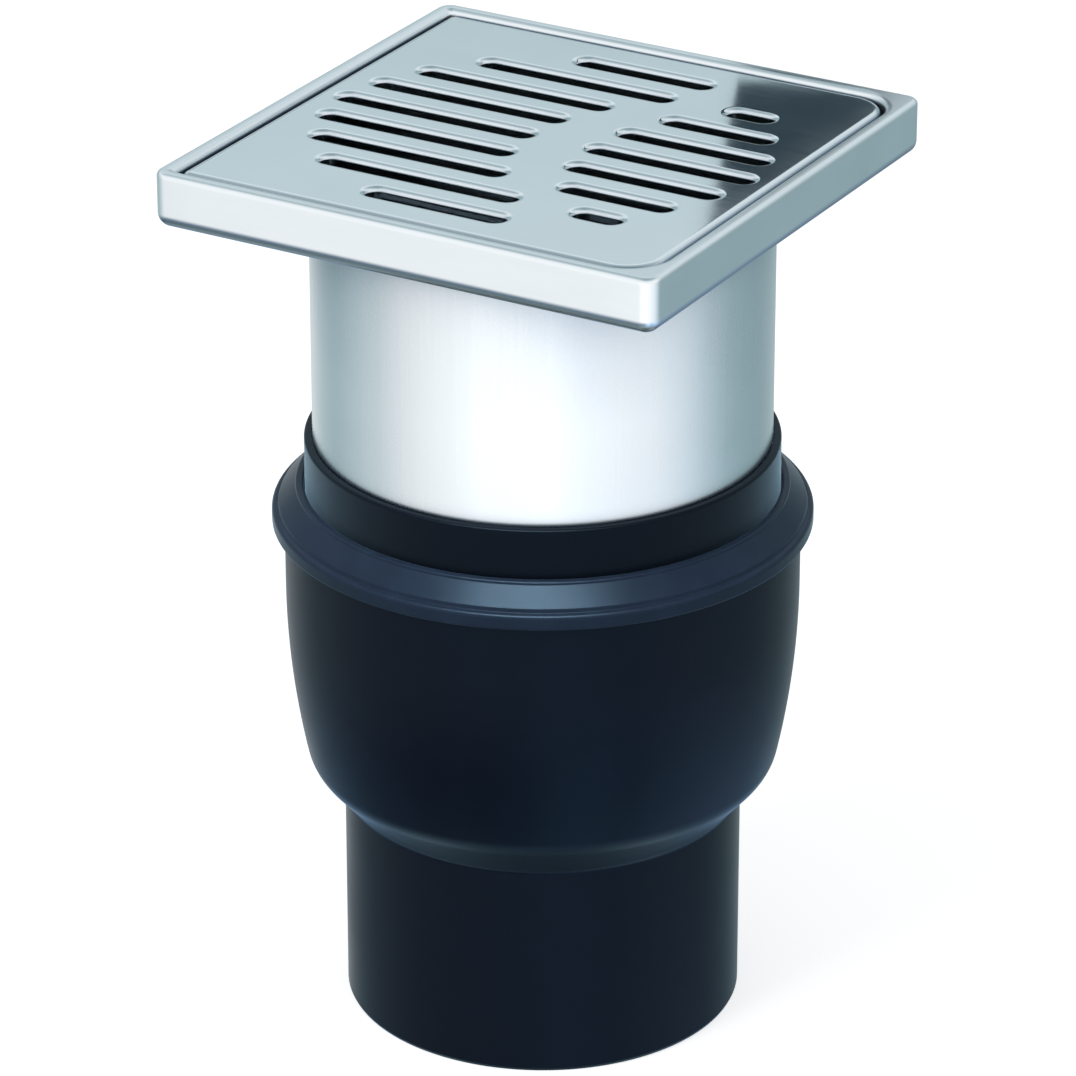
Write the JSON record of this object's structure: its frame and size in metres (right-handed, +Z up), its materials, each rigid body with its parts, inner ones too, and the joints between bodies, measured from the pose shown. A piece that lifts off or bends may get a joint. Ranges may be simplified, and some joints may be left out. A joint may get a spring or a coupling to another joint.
{
  "type": "gully trap",
  "caption": "Square stainless floor gully on a riser that slides and turns in the rubber seal of a black moulded trap body with a straight spigot outlet.",
  "frame": {"origin": "centre of the outlet spigot's lower end, which is the bottom centre of the part", "axes": "+Z up along the spigot and riser; X along the grating's slots, Y across them"},
  "size_m": [0.15, 0.15, 0.2545],
  "materials": {
    "black_plastic": "moulded, satin",
    "ring_plastic": "moulded, satin",
    "seal_rubber": "moulded, slightly shiny",
    "tube_steel": "smooth satin stainless",
    "frame_steel": "smooth satin stainless",
    "grating_steel": "smooth satin stainless",
    "trap_plastic": "moulded, dark grey",
    "ring_rubber": "moulded"
  },
  "bodies": {
    "gully": {"gully_body": "black_plastic", "clamp_ring": "ring_plastic", "trap_funnel": "trap_plastic", "trap_cup": "trap_plastic", "trap_ring": "ring_rubber"},
    "seal": {"riser_seal": "seal_rubber"},
    "riser": {"riser_tube": "tube_steel", "frame": "frame_steel", "grating": "grating_steel"}
  },
  "joints": [
    {"name": "riser_turn", "type": "hinge", "parent": "gully", "child": "seal", "pos_m": [0, 0, 0.145], "axis": [0, 0, 1], "continuous": true},
    {"name": "riser_height", "type": "slide", "parent": "seal", "child": "riser", "axis": [0, 0, 1], "range_m": [-0.04, 0.012]}
  ]
}
